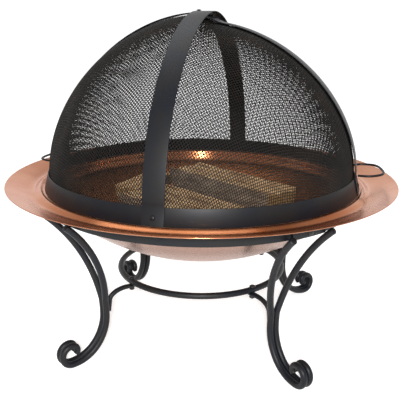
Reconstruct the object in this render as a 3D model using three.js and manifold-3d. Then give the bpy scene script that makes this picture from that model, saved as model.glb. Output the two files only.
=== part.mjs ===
// Fire pit on a four-legged stand, with a domed spark screen, a log grate and split firewood.
// Millimetres, +Z up. The origin is on the ground at the middle of the stand.
// +X is the right side and -Y is the front.
import * as THREE from 'three';
import { mergeVertices } from 'three/addons/utils/BufferGeometryUtils.js';
import Module from 'manifold-3d';

const wasm = await Module();
wasm.setup();

// ---- Driving dimensions ----

const GAP = 0.35; // clearance kept between pieces that touch

// Bowl: a spun copper dish, part of a sphere, with a ledge for the screen and a wide brim.
const BOWL_SPHERE_RADIUS = 424;
const BOWL_BOTTOM_Z = 174.5;
const BOWL_SHEET = 1.5;
const BOWL_DISH_RADIUS = 288;
const RIM_RADIUS = 381;
const RIM_Z = 328.5;
const LEDGE_Z = 317.2;

// Stand: a flat ring under the brim, four legs of paired rods and a round rod ring low down.
const TOP_RING_INNER = 301;
const TOP_RING_OUTER = 306;
const TOP_RING_LOW = 286;
const TOP_RING_HIGH = 302.5;
const ROD_RADIUS = 6.25;
const LOWER_RING_RADIUS = 166;
const LOWER_RING_Z = 140;
const LOWER_RING_ROD = 6;
const LEG_WAIST_RADIUS = 226.5; // how far the leg's waist stands from the axis
const LEG_WAIST_Z = 88;
const LEG_TOP_Z = 290;
const PAIR_GAP = 1; // between the two rods of a leg where they run side by side
const FORK_Z = 118; // the two rods of a leg part above this height
const FORK_SPREAD = 46; // half the distance between the rods at the ring
const FORK_EXPONENT = 0.9; // below 1 the rods part faster at first
const SCROLL_RADIUS = 19;

// Screen: a sheet hoop, a dome of wire mesh, two crossing straps and two loop handles.
const SCREEN_TURN = -6.5; // degrees, how the loose screen happens to sit in the bowl
const HOOP_LOW = 317.7;
const HOOP_HIGH = 347.7;
const HOOP_RADIUS_LOW = 307.5;
const HOOP_RADIUS_HIGH = 300;
const HOOP_SHEET = 1.6;
const MESH_SHELL = 1.6;
const MESH_BASE_RADIUS = 297.7;
const MESH_HEIGHT_LEFT = 293; // the mesh is drawn up to the straps on its left side
const MESH_HEIGHT_RIGHT = 278.5;
const MESH_FULLNESS_LEFT = 1.85;
const MESH_FULLNESS_RIGHT = 1.867;
const STRAP_WIDTH = 38;
const STRAP_SHEET = 1.6;
const HANDLE_SHIFT = 6; // the handle strap crosses this far to the right of the middle
const LOOP_WIRE = 2.3;
const LOOP_HALF_WIDTH = 52;
const LOOP_ROOT_INSET = 8; // how much nearer together the loop's two ends are
const LOOP_Z = 343.5;

// Grate and firewood.
const GRATE_RADIUS = 135;
const GRATE_Z = 230;
const GRATE_ROD = 4;
const GRATE_BAR_SPACING = 56;

// ---- Materials ----

function finish(color, roughness, metalness) {
  return new THREE.MeshStandardMaterial({ color, roughness, metalness });
}

const COPPER = () => finish(0xc9774a, 0.3, 1.0);
const BLACK_STEEL = () => finish(0x1d1b1a, 0.45, 0.4);
const BLACK_MESH = () => finish(0x262422, 0.6, 0.3);
const ZINC = () => finish(0x6e6f70, 0.4, 0.9);
const BARE_IRON = () => finish(0x33302d, 0.7, 0.6);
const SPLIT_WOOD = () => finish(0xa9834f, 0.85, 0.0);

// ---- Small geometry helpers ----

const radians = THREE.MathUtils.degToRad;
const model = new THREE.Group();

// Adds one named piece to a group.
function piece(name, geometry, material, parent = model) {
  const mesh = new THREE.Mesh(geometry, material);
  mesh.name = name;
  parent.add(mesh);
  return mesh;
}

// Turns a closed (radius, z) outline about the Z axis.
function turned(profile, segments) {
  const points = profile.map(([r, z]) => new THREE.Vector2(r, z));
  const geometry = new THREE.LatheGeometry(points, segments);
  geometry.rotateX(Math.PI / 2);
  return geometry;
}

// Points on an arc in the (x, z) plane, from one angle to another, in degrees.
function arc(cx, cz, radius, from, to, count) {
  const points = [];
  for (let i = 0; i <= count; i += 1) {
    const angle = radians(from + ((to - from) * i) / count);
    points.push([cx + radius * Math.cos(angle), cz + radius * Math.sin(angle)]);
  }
  return points;
}

function polygon(radius, sides) {
  const shape = new THREE.Shape();
  for (let i = 0; i < sides; i += 1) {
    const angle = (2 * Math.PI * i) / sides;
    const place = [radius * Math.cos(angle), radius * Math.sin(angle)];
    if (i === 0) shape.moveTo(...place);
    else shape.lineTo(...place);
  }
  shape.closePath();
  return shape;
}

// A rod of even thickness along a smooth curve through the points.
function rod(points, radius, steps, sides = 6) {
  const route = new THREE.CatmullRomCurve3(points, false, 'centripetal');
  return new THREE.ExtrudeGeometry(polygon(radius, sides), {
    steps,
    extrudePath: route,
    bevelEnabled: false,
    curveSegments: 1,
  });
}

// A closed ring of round rod, flat in a horizontal plane.
function rodRing(radius, thickness, z, segments) {
  const geometry = new THREE.TorusGeometry(radius, thickness, 6, segments);
  geometry.translate(0, 0, z);
  return geometry;
}

// A strap of even width and thickness, bent along an outline in the (x, z) plane.
function bentStrap(outline, sheet, width) {
  const outer = [];
  const inner = [];
  outline.forEach(([x, z], i) => {
    const before = outline[Math.max(i - 1, 0)];
    const after = outline[Math.min(i + 1, outline.length - 1)];
    const along = new THREE.Vector2(after[0] - before[0], after[1] - before[1]).normalize();
    outer.push(new THREE.Vector2(x - (along.y * sheet) / 2, z + (along.x * sheet) / 2));
    inner.push(new THREE.Vector2(x + (along.y * sheet) / 2, z - (along.x * sheet) / 2));
  });
  const shape = new THREE.Shape([...outer, ...inner.reverse()]);
  const geometry = new THREE.ExtrudeGeometry(shape, { depth: width, bevelEnabled: false });
  geometry.translate(0, 0, -width / 2);
  geometry.rotateX(Math.PI / 2);
  return geometry;
}

// A domed head with a shank below it, along Z with the head's underside at 0.
function domedPin(headRadius, headHeight, shankRadius, shankLength) {
  return turned(
    [
      [0, -shankLength],
      [shankRadius, -shankLength],
      [shankRadius, 0],
      [headRadius, 0],
      [headRadius * 0.8, headHeight * 0.7],
      [0, headHeight],
    ],
    8,
  );
}

// ---- Booleans ----

function toSolid(geometry) {
  const bare = geometry.clone();
  bare.deleteAttribute('normal');
  bare.deleteAttribute('uv');
  const merged = mergeVertices(bare, 1e-4);
  const vertProperties = Float32Array.from(merged.attributes.position.array);
  const triVerts = Uint32Array.from(merged.index.array);
  return new wasm.Manifold(new wasm.Mesh({ numProp: 3, vertProperties, triVerts }));
}

function toGeometry(solid) {
  const { vertProperties, triVerts, numProp } = solid.getMesh();
  const positions = new Float32Array((vertProperties.length / numProp) * 3);
  for (let i = 0; i < positions.length / 3; i += 1) {
    positions.set(vertProperties.subarray(i * numProp, i * numProp + 3), i * 3);
  }
  const geometry = new THREE.BufferGeometry();
  geometry.setAttribute('position', new THREE.BufferAttribute(positions, 3));
  geometry.setIndex(new THREE.BufferAttribute(Uint32Array.from(triVerts), 1));
  geometry.computeVertexNormals();
  return geometry;
}

// Drills round holes: each hole is a point, a direction and a radius.
function drilled(geometry, holes) {
  let solid = toSolid(geometry);
  holes.forEach(({ at, along, radius, depth }) => {
    const bit = new THREE.CylinderGeometry(radius, radius, depth, 8);
    const turn = new THREE.Quaternion().setFromUnitVectors(new THREE.Vector3(0, 1, 0), along);
    bit.applyQuaternion(turn);
    bit.translate(at.x, at.y, at.z);
    solid = solid.subtract(toSolid(bit));
  });
  return toGeometry(solid);
}

// Puts a pin that was made along +Z so that it points along a direction.
function aim(mesh, at, along) {
  mesh.position.copy(at);
  mesh.quaternion.setFromUnitVectors(new THREE.Vector3(0, 0, 1), along);
  return mesh;
}

// A point given by its radius, its angle from +X and its height.
function polar(radius, degrees, z) {
  return new THREE.Vector3(
    radius * Math.cos(radians(degrees)),
    radius * Math.sin(radians(degrees)),
    z,
  );
}

// ---- Stand ----

const LEGS = [
  ['front_right', -45],
  ['back_right', 45],
  ['back_left', 135],
  ['front_left', 225],
];
const RING_BOLT_Z = (TOP_RING_LOW + TOP_RING_HIGH) / 2;
const RING_BOLT_RADIUS = 3;
const BRACKET_BOLT_RADIUS = 3;
const HOLE_CLEARANCE = 0.4;
const TAB_SHEET = 3;
const TAB_HALF_ANGLE = 7; // degrees of the ring that a leg's tab covers on each side

function flatRing(inner, outer, low, high, segments) {
  return turned([[inner, low], [outer, low], [outer, high], [inner, high], [inner, low]], segments);
}

const ringHoles = LEGS.map(([, turn]) => ({
  at: polar(TOP_RING_OUTER, turn, RING_BOLT_Z),
  along: polar(1, turn, 0),
  radius: RING_BOLT_RADIUS + HOLE_CLEARANCE,
  depth: 30,
}));
piece(
  'top_ring',
  drilled(flatRing(TOP_RING_INNER, TOP_RING_OUTER, TOP_RING_LOW, TOP_RING_HIGH, 48), ringHoles),
  BLACK_STEEL(),
);

const lowerHoles = LEGS.map(([, turn]) => ({
  at: polar(LOWER_RING_RADIUS, turn, LOWER_RING_Z),
  along: new THREE.Vector3(0, 0, 1),
  radius: BRACKET_BOLT_RADIUS + HOLE_CLEARANCE,
  depth: 30,
}));
piece(
  'lower_ring',
  drilled(rodRing(LOWER_RING_RADIUS, LOWER_RING_ROD, LOWER_RING_Z, 40), lowerHoles),
  BLACK_STEEL(),
);

// A leg's outline in its own radial plane, from the ring down to the tip of the scroll: a C of
// three arcs, then a scroll of two arcs that closes over the foot.
const UPPER_BEND = 270;
const LOWER_BEND = 89;
const LOWER_TURN = 40;
const FOOT_BEND = 69;
const TIP_BEND = 10.5;
const TIP_TURN = 130;

function legOutline() {
  const lowerCentre = LEG_WAIST_RADIUS + LOWER_BEND;
  const lowerArc = arc(lowerCentre, LEG_WAIST_Z, LOWER_BEND, 180, 180 + LOWER_TURN, 5);
  const [footX, footZ] = lowerArc[lowerArc.length - 1];
  const footAngle = radians(180 + LOWER_TURN);
  const footCentre = [footX - FOOT_BEND * Math.cos(footAngle), footZ - FOOT_BEND * Math.sin(footAngle)];
  const footArc = arc(...footCentre, FOOT_BEND, 180 + LOWER_TURN, 270, 5);
  const [heelX, heelZ] = footArc[footArc.length - 1];
  const scroll = arc(heelX, heelZ + SCROLL_RADIUS, SCROLL_RADIUS, -90, 90, 8);
  const [crownX, crownZ] = scroll[scroll.length - 1];
  const tip = arc(crownX, crownZ - TIP_BEND, TIP_BEND, 90, 90 + TIP_TURN, 5);
  const rise = ROD_RADIUS - heelZ; // sets the heel on the ground
  const topSine = (LEG_TOP_Z - rise - LEG_WAIST_Z) / UPPER_BEND;
  const topTurn = THREE.MathUtils.radToDeg(Math.asin(topSine));
  const outline = [
    ...arc(LEG_WAIST_RADIUS + UPPER_BEND, LEG_WAIST_Z, UPPER_BEND, 180 - topTurn, 180, 9),
    ...lowerArc.slice(1),
    ...footArc.slice(1),
    ...scroll.slice(1),
    ...tip.slice(1),
  ];
  return outline.map(([x, z]) => [x, z + rise]);
}

// How far a rod stands to the side of the leg's middle plane at a height.
function forkOffset(z) {
  const together = ROD_RADIUS + PAIR_GAP / 2;
  const share = THREE.MathUtils.clamp((z - FORK_Z) / (LEG_TOP_Z - FORK_Z), 0, 1);
  return together + (FORK_SPREAD - together) * share ** FORK_EXPONENT;
}

const legPoints = legOutline();
const ROD_STEPS = 36;

function legRod(side) {
  const route = legPoints.map(([x, z]) => new THREE.Vector3(x, side * forkOffset(z), z));
  const geometry = rod(route, ROD_RADIUS, ROD_STEPS);
  geometry.computeBoundingBox();
  geometry.translate(0, 0, -geometry.boundingBox.min.z); // the rod's lowest corner meets the ground
  return geometry;
}

// The tab is a short curved flat bar on the outside of the ring, between a leg's two rods.
function legTab() {
  const inner = TOP_RING_OUTER + GAP;
  const shape = new THREE.Shape();
  const half = radians(TAB_HALF_ANGLE);
  shape.absarc(0, 0, inner + TAB_SHEET, -half, half, false);
  shape.absarc(0, 0, inner, half, -half, true);
  const height = TOP_RING_HIGH - TOP_RING_LOW;
  const geometry = new THREE.ExtrudeGeometry(shape, { depth: height, bevelEnabled: false, curveSegments: 6 });
  geometry.translate(0, 0, TOP_RING_LOW);
  return drilled(geometry, [
    {
      at: new THREE.Vector3(inner, 0, RING_BOLT_Z),
      along: new THREE.Vector3(1, 0, 0),
      radius: RING_BOLT_RADIUS + HOLE_CLEARANCE,
      depth: 30,
    },
  ]);
}

// The bracket is a rod that leaves the leg's inner face and bends in under the lower ring, where
// its flattened end is bolted up to the ring.
const BRACKET_ROD = 4.7;
const BRACKET_LOW = 112;
const BRACKET_FLAT = 5;
const BRACKET_FLAT_WIDTH = 14;
const BRACKET_TOP = LOWER_RING_Z - LOWER_RING_ROD - GAP;

function bracket() {
  const outerX = LEG_WAIST_RADIUS - ROD_RADIUS - BRACKET_ROD - GAP;
  const innerX = LOWER_RING_RADIUS + 14;
  const topZ = BRACKET_TOP - BRACKET_FLAT / 2;
  const route = [];
  for (let i = 0; i <= 6; i += 1) {
    const angle = radians((90 * i) / 6);
    const x = innerX + (outerX - innerX) * Math.cos(angle);
    const z = BRACKET_LOW + (topZ - BRACKET_LOW) * Math.sin(angle);
    route.push(new THREE.Vector3(x, 0, z));
  }
  const bar = toSolid(rod(route, BRACKET_ROD, 7, 8));
  const flatLength = innerX + 2 - (LOWER_RING_RADIUS - 9);
  const flat = new THREE.BoxGeometry(flatLength, BRACKET_FLAT_WIDTH, BRACKET_FLAT);
  flat.translate(LOWER_RING_RADIUS - 9 + flatLength / 2, 0, topZ);
  return drilled(toGeometry(bar.add(toSolid(flat))), [
    {
      at: new THREE.Vector3(LOWER_RING_RADIUS, 0, topZ),
      along: new THREE.Vector3(0, 0, 1),
      radius: BRACKET_BOLT_RADIUS + HOLE_CLEARANCE,
      depth: 30,
    },
  ]);
}

// A six-sided nut along Z, with its top face at 0.
function nut(acrossCorners, height, boreRadius) {
  const shape = polygon(acrossCorners / 2, 6);
  shape.holes.push(polygon(boreRadius, 6));
  const geometry = new THREE.ExtrudeGeometry(shape, { depth: height, bevelEnabled: false });
  geometry.translate(0, 0, -height);
  return geometry;
}

LEGS.forEach(([place, turn]) => {
  const leg = new THREE.Group();
  leg.rotation.z = radians(turn);
  model.add(leg);
  piece(`leg_rod_${place}_a`, legRod(-1), BLACK_STEEL(), leg);
  piece(`leg_rod_${place}_b`, legRod(1), BLACK_STEEL(), leg);
  piece(`leg_tab_${place}`, legTab(), BLACK_STEEL(), leg);
  piece(`leg_bracket_${place}`, bracket(), BLACK_STEEL(), leg);

  const tabFace = TOP_RING_OUTER + GAP + TAB_SHEET + GAP;
  const ringBolt = piece(`ring_bolt_${place}`, domedPin(6.5, 3.5, RING_BOLT_RADIUS, 8.5), ZINC(), leg);
  aim(ringBolt, new THREE.Vector3(tabFace, 0, RING_BOLT_Z), new THREE.Vector3(1, 0, 0));

  const headZ = LOWER_RING_Z + LOWER_RING_ROD + GAP;
  const bracketBolt = piece(
    `bracket_bolt_${place}`,
    domedPin(6, 3.2, BRACKET_BOLT_RADIUS, 24),
    ZINC(),
    leg,
  );
  bracketBolt.position.set(LOWER_RING_RADIUS, 0, headZ);
  const bracketNut = piece(`bracket_nut_${place}`, nut(11.5, 4.5, BRACKET_BOLT_RADIUS + 0.5), ZINC(), leg);
  bracketNut.position.set(LOWER_RING_RADIUS, 0, BRACKET_TOP - BRACKET_FLAT - GAP);
});

// ---- Bowl ----

// The height of the dish's inner surface at a distance from the axis.
function dishHeight(r) {
  const innerRadius = BOWL_SPHERE_RADIUS - BOWL_SHEET;
  return BOWL_BOTTOM_Z + BOWL_SPHERE_RADIUS - Math.sqrt(innerRadius ** 2 - r ** 2);
}

// The inner surface from the bottom out to the brim's edge: dish, wall, ledge, bead and brim.
function bowlSurface() {
  const steps = 6;
  const points = [];
  for (let i = 0; i <= steps; i += 1) {
    const r = (BOWL_DISH_RADIUS * i) / steps;
    points.push([r, dishHeight(r)]);
  }
  points.push(
    [295, 295.5],
    [298.6, 304],
    [300.2, 312],
    [302.8, LEDGE_Z],
    [311, LEDGE_Z],
    [315.5, 319.6],
    [320, 318.6],
    [329, 314.6],
    [340, 315.8],
    [358, 321.8],
    [RIM_RADIUS, RIM_Z],
  );
  return points;
}

// Offsets an outline by the sheet's thickness, to its underside.
function underside(points, sheet) {
  return points.map(([r, z], i) => {
    const before = points[Math.max(i - 1, 0)];
    const after = points[Math.min(i + 1, points.length - 1)];
    const along = new THREE.Vector2(after[0] - before[0], after[1] - before[1]).normalize();
    return i === 0 ? [0, z - sheet] : [r + along.y * sheet, z - along.x * sheet];
  });
}

function bowl() {
  const inside = bowlSurface();
  const outside = underside(inside, BOWL_SHEET);
  outside[outside.length - 1] = [RIM_RADIUS, RIM_Z - BOWL_SHEET];
  return turned([...outside, ...inside.reverse()], 48);
}

piece('bowl', bowl(), COPPER());

// ---- Spark screen ----

const screen = new THREE.Group();
screen.rotation.z = radians(SCREEN_TURN);
model.add(screen);

const HOOP_LEAN = (HOOP_RADIUS_HIGH - HOOP_RADIUS_LOW) / (HOOP_HIGH - HOOP_LOW);
const RIVET_Z = 331;
const RIVET_RADIUS = 2.5;
const hoopRadius = (z) => HOOP_RADIUS_LOW + (z - HOOP_LOW) * HOOP_LEAN;
const hoopNormal = (degrees) => polar(1, degrees, -HOOP_LEAN).normalize();
const HANDLE_SKEW = THREE.MathUtils.radToDeg(Math.asin(HANDLE_SHIFT / HOOP_RADIUS_LOW));
const STRAP_ENDS = [
  ['front', -90 + HANDLE_SKEW],
  ['right', 0],
  ['back', 90 - HANDLE_SKEW],
  ['left', 180],
];

function rivetHole(degrees) {
  return {
    at: polar(hoopRadius(RIVET_Z), degrees, RIVET_Z),
    along: hoopNormal(degrees),
    radius: RIVET_RADIUS + HOLE_CLEARANCE,
    depth: 12,
  };
}

const hoop = turned(
  [
    [HOOP_RADIUS_LOW - HOOP_SHEET, HOOP_LOW],
    [HOOP_RADIUS_LOW, HOOP_LOW],
    [HOOP_RADIUS_HIGH, HOOP_HIGH],
    [HOOP_RADIUS_HIGH - HOOP_SHEET, HOOP_HIGH],
    [HOOP_RADIUS_LOW - HOOP_SHEET, HOOP_LOW],
  ],
  48,
);
piece('screen_hoop', drilled(hoop, STRAP_ENDS.map(([, turn]) => rivetHole(turn))), BLACK_STEEL(), screen);

// How much of the left side's fuller dome a point has, from its distance to the right.
function leftShare(x, middle, halfWidth) {
  return 1 - THREE.MathUtils.smoothstep(x, middle - halfWidth, middle + halfWidth);
}

// The height of a dome of given base radius, height and fullness, at a distance from the axis.
function domeHeight(distance, radius, height, fullness) {
  const share = Math.min(Math.abs(distance) / radius, 1);
  return HOOP_HIGH + height * (1 - share ** fullness) ** (1 / fullness);
}

// The mesh's outer surface at a direction, where lift goes from 0 at the hoop to 90 at the top.
function meshPoint(degrees, lift, inset) {
  const angle = radians(lift);
  const meanFullness = (MESH_FULLNESS_LEFT + MESH_FULLNESS_RIGHT) / 2;
  const reach = MESH_BASE_RADIUS * Math.cos(angle) ** (2 / meanFullness);
  const share = leftShare(reach * Math.cos(radians(degrees)), HANDLE_SHIFT, 18);
  const fullness = THREE.MathUtils.lerp(MESH_FULLNESS_RIGHT, MESH_FULLNESS_LEFT, share);
  const height = THREE.MathUtils.lerp(MESH_HEIGHT_RIGHT, MESH_HEIGHT_LEFT, share);
  const radius = (MESH_BASE_RADIUS - inset) * Math.cos(angle) ** (2 / fullness);
  return polar(radius, degrees, HOOP_HIGH + (height - inset) * Math.sin(angle) ** (2 / fullness));
}

// A closed shell: an outer skin, an inner skin and the edge that joins them inside the hoop.
function meshDome() {
  const directions = 48;
  const lifts = [0, 11, 22, 33, 44, 55, 65, 74, 82, 86.5];
  const skirtZ = HOOP_LOW + 5;
  const skirtInset = GAP + HOOP_SHEET;
  const rows = [];
  const addRow = (make) => {
    const row = [];
    for (let i = 0; i < directions; i += 1) row.push(make((360 * i) / directions));
    rows.push(row);
  };
  const outerTop = meshPoint(90, 90, 0);
  const innerTop = meshPoint(90, 90, MESH_SHELL);
  lifts.slice().reverse().forEach((lift) => addRow((turn) => meshPoint(turn, lift, 0)));
  addRow((turn) => polar(hoopRadius(skirtZ) - skirtInset, turn, skirtZ));
  addRow((turn) => polar(hoopRadius(skirtZ) - skirtInset - MESH_SHELL, turn, skirtZ));
  lifts.forEach((lift) => addRow((turn) => meshPoint(turn, lift, MESH_SHELL)));

  const positions = [outerTop, ...rows.flat(), innerTop].flatMap((p) => [p.x, p.y, p.z]);
  const at = (row, i) => 1 + row * directions + (i % directions);
  const last = 1 + rows.length * directions;
  const triangles = [];
  for (let i = 0; i < directions; i += 1) {
    triangles.push(0, at(0, i), at(0, i + 1));
    for (let row = 0; row + 1 < rows.length; row += 1) {
      triangles.push(at(row, i), at(row + 1, i), at(row + 1, i + 1));
      triangles.push(at(row, i), at(row + 1, i + 1), at(row, i + 1));
    }
    triangles.push(at(rows.length - 1, i), last, at(rows.length - 1, i + 1));
  }
  const geometry = new THREE.BufferGeometry();
  geometry.setAttribute('position', new THREE.Float32BufferAttribute(positions, 3));
  geometry.setIndex(triangles);
  geometry.computeVertexNormals();
  return geometry;
}

piece('mesh_dome', meshDome(), BLACK_MESH(), screen);

// Straps run from the hoop, over the crown and down to the hoop again. Their ends lie flat on the
// outside of the hoop.
const STRAP_BASE_RADIUS = MESH_BASE_RADIUS + 3.5;
const HANDLE_HEIGHT = MESH_HEIGHT_LEFT + 4.8; // the middle of the handle strap's sheet
const CROSS_HEIGHT_LEFT = MESH_HEIGHT_LEFT + 2.4;
const CROSS_HEIGHT_RIGHT = MESH_HEIGHT_RIGHT + 2.2;
const STRAP_STEPS = 18;

function strapOutline(heightAt) {
  const outside = HOOP_SHEET / 2 + GAP;
  const reach = (z) => hoopRadius(z) + outside;
  const outline = [[-reach(HOOP_LOW + 1), HOOP_LOW + 1], [-reach(HOOP_HIGH), HOOP_HIGH]];
  for (let i = 1; i < 2 * STRAP_STEPS; i += 1) {
    const angle = (Math.PI * i) / (2 * STRAP_STEPS);
    const x = -STRAP_BASE_RADIUS * Math.sign(Math.cos(angle)) * Math.abs(Math.cos(angle)) ** 1.09;
    outline.push([x, heightAt(x)]);
  }
  outline.push([reach(HOOP_HIGH), HOOP_HIGH], [reach(HOOP_LOW + 1), HOOP_LOW + 1]);
  return outline;
}

function handleHeight(x) {
  return domeHeight(x, STRAP_BASE_RADIUS, HANDLE_HEIGHT, MESH_FULLNESS_LEFT);
}

// The cross strap meets the handle strap on the left and drops onto the mesh on the right.
function crossHeight(x) {
  const left = domeHeight(x, STRAP_BASE_RADIUS, CROSS_HEIGHT_LEFT, MESH_FULLNESS_LEFT);
  const right = domeHeight(x, STRAP_BASE_RADIUS, CROSS_HEIGHT_RIGHT, MESH_FULLNESS_RIGHT);
  return THREE.MathUtils.lerp(right, left, leftShare(x, HANDLE_SHIFT + 12, 26));
}

const CROWN_RIVET_X = HANDLE_SHIFT - 13;

function strapHoles(endTurns, crownZ) {
  const up = new THREE.Vector3(0, 0, 1);
  const ends = endTurns.map((turn) => rivetHole(turn));
  const crown = new THREE.Vector3(CROWN_RIVET_X, 0, crownZ);
  return [...ends, { at: crown, along: up, radius: RIVET_RADIUS + HOLE_CLEARANCE, depth: 4 }];
}

const handleStrap = bentStrap(strapOutline(handleHeight), STRAP_SHEET, STRAP_WIDTH);
handleStrap.rotateZ(Math.PI / 2);
handleStrap.translate(HANDLE_SHIFT, 0, 0);
const handleEnds = [-90 + HANDLE_SKEW, 90 - HANDLE_SKEW];
piece(
  'handle_strap',
  drilled(handleStrap, strapHoles(handleEnds, handleHeight(0))),
  BLACK_STEEL(),
  screen,
);
const crossStrap = bentStrap(strapOutline(crossHeight), STRAP_SHEET, STRAP_WIDTH);
piece(
  'cross_strap',
  drilled(crossStrap, strapHoles([0, 180], crossHeight(CROWN_RIVET_X))),
  BLACK_STEEL(),
  screen,
);

STRAP_ENDS.forEach(([place, turn]) => {
  const seat = HOOP_SHEET / 2 + GAP + STRAP_SHEET / 2 + 0.3;
  const normal = hoopNormal(turn);
  const at = polar(hoopRadius(RIVET_Z), turn, RIVET_Z).addScaledVector(normal, seat);
  const rivet = piece(`strap_rivet_${place}`, domedPin(4.5, 2.2, RIVET_RADIUS, 3.2), BLACK_STEEL(), screen);
  aim(rivet, at, normal);
});

const crownRivet = piece('crown_rivet', domedPin(4.8, 2.4, RIVET_RADIUS, 4.2), BLACK_STEEL(), screen);
crownRivet.position.set(CROWN_RIVET_X, 0, handleHeight(0) + STRAP_SHEET / 2 + 0.3);

// A loop handle is one wire bent to a D, with both ends against the hoop.
function loopHandle(depth, tilt) {
  const corner = 20;
  const root = 0.8;
  const outline = [
    [root, -LOOP_HALF_WIDTH + LOOP_ROOT_INSET],
    [depth * 0.45, -LOOP_HALF_WIDTH],
    [depth - corner * 0.3, -LOOP_HALF_WIDTH + corner * 0.7],
    [depth, 0],
  ];
  const mirrored = outline.slice(0, -1).reverse().map(([x, y]) => [x, -y]);
  const route = [...outline, ...mirrored].map(
    ([x, y]) => new THREE.Vector3(x, y, x * Math.tan(radians(tilt))),
  );
  return rod(route, LOOP_WIRE, 18);
}

const LOOPS = [
  { place: 'right', turn: 13, depth: 55, tilt: 3 },
  { place: 'left', turn: 175.4, depth: 52, tilt: 0 },
];
LOOPS.forEach(({ place, turn, depth, tilt }) => {
  const loop = piece(`loop_handle_${place}`, loopHandle(depth, tilt), BLACK_STEEL(), screen);
  const rootSpan = LOOP_HALF_WIDTH - LOOP_ROOT_INSET;
  const chord = Math.sqrt(hoopRadius(LOOP_Z) ** 2 - rootSpan ** 2);
  loop.position.copy(polar(chord + LOOP_WIRE + 1.4, turn, LOOP_Z));
  loop.rotation.z = radians(turn);
});

// ---- Log grate ----

piece('grate_ring', rodRing(GRATE_RADIUS, GRATE_ROD, GRATE_Z, 32), BARE_IRON());

for (let i = 0; i < 4; i += 1) {
  const y = (i - 1.5) * GRATE_BAR_SPACING;
  const half = Math.sqrt(GRATE_RADIUS ** 2 - y ** 2) + GRATE_ROD;
  const bar = new THREE.CylinderGeometry(GRATE_ROD, GRATE_ROD, 2 * half, 8);
  bar.rotateZ(Math.PI / 2);
  bar.translate(0, y, GRATE_Z + 2 * GRATE_ROD + GAP);
  piece(`grate_bar_${i + 1}`, bar, BARE_IRON());
}

const FOOT_CLEARANCE = 1.2; // above the dish, whose surface is made of flat facets
const FOOT_LOW = dishHeight(GRATE_RADIUS + GRATE_ROD) + FOOT_CLEARANCE;
for (let i = 0; i < 3; i += 1) {
  const high = GRATE_Z - GRATE_ROD - GAP;
  const foot = new THREE.CylinderGeometry(GRATE_ROD, GRATE_ROD, high - FOOT_LOW, 8);
  foot.rotateX(Math.PI / 2);
  const at = polar(GRATE_RADIUS, 30 + 120 * i, (high + FOOT_LOW) / 2);
  foot.translate(at.x, at.y, at.z);
  piece(`grate_foot_${i + 1}`, foot, BARE_IRON());
}

// ---- Firewood ----

// A split log: a round back below and a flat split face on top, lying along its own X axis.
function splitLog(length, halfWidth, depth) {
  const shape = new THREE.Shape();
  shape.absellipse(0, 0, halfWidth, depth, Math.PI, 2 * Math.PI, false, 0);
  shape.closePath();
  const geometry = new THREE.ExtrudeGeometry(shape, { depth: length, bevelEnabled: false, curveSegments: 8 });
  geometry.translate(0, 0, -length / 2);
  geometry.rotateX(Math.PI / 2);
  geometry.rotateZ(Math.PI / 2);
  return geometry;
}

const LOG_REST_Z = GRATE_Z + 3 * GRATE_ROD + 2 * GAP; // just above the grate's bars
const LOGS = [
  { name: 'log_front', length: 280, halfWidth: 60, depth: 58, at: [-14, -96], turn: -38 },
  { name: 'log_rear', length: 290, halfWidth: 42, depth: 77, at: [52, 38], turn: -39.5 },
  { name: 'log_side', length: 150, halfWidth: 30, depth: 52, at: [-139, 88], turn: 73 },
];
LOGS.forEach(({ name, length, halfWidth, depth, at, turn }) => {
  const log = piece(name, splitLog(length, halfWidth, depth), SPLIT_WOOD());
  log.position.set(at[0], at[1], LOG_REST_Z + depth);
  log.rotation.z = radians(turn);
});

export default model;
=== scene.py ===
"""A copper fire bowl on a scroll-footed stand, with a spark screen, a log grate and firewood.

Lengths in the classes are millimetres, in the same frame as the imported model. They become metres
where a mesh is made.
"""

import logging
import math
from abc import ABC, abstractmethod
from collections.abc import Callable, Sequence
from dataclasses import dataclass, field
from enum import Enum

import bmesh
import bpy
import numpy as np
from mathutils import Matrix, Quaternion, Vector


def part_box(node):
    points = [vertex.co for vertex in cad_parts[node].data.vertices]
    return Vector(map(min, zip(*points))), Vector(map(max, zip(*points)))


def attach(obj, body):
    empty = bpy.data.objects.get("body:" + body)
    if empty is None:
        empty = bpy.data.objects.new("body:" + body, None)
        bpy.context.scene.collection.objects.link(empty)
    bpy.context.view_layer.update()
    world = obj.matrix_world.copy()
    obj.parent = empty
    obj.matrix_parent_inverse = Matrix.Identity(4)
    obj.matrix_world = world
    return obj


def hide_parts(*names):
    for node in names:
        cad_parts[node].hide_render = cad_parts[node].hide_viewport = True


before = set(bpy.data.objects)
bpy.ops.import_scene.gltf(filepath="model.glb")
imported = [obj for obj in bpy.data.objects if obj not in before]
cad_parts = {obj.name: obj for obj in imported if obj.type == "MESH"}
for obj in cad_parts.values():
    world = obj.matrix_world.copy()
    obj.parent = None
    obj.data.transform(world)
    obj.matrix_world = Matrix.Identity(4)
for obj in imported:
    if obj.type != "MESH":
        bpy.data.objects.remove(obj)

LOG = logging.getLogger("fire_pit")
MM = 0.001
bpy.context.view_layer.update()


class Body(str, Enum):
    """The bodies that move apart."""

    STAND = "stand"
    BOWL = "bowl"
    SCREEN = "screen"
    GRATE = "grate"
    LOGS = "logs"


class Leg(Enum):
    """The four legs, each with its angle from +X in degrees."""

    FRONT_RIGHT = -45
    BACK_RIGHT = 45
    BACK_LEFT = 135
    FRONT_LEFT = 225

    @property
    def label(self) -> str:
        """The leg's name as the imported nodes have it."""
        return self.name.lower()


# ---- Materials ----


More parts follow.
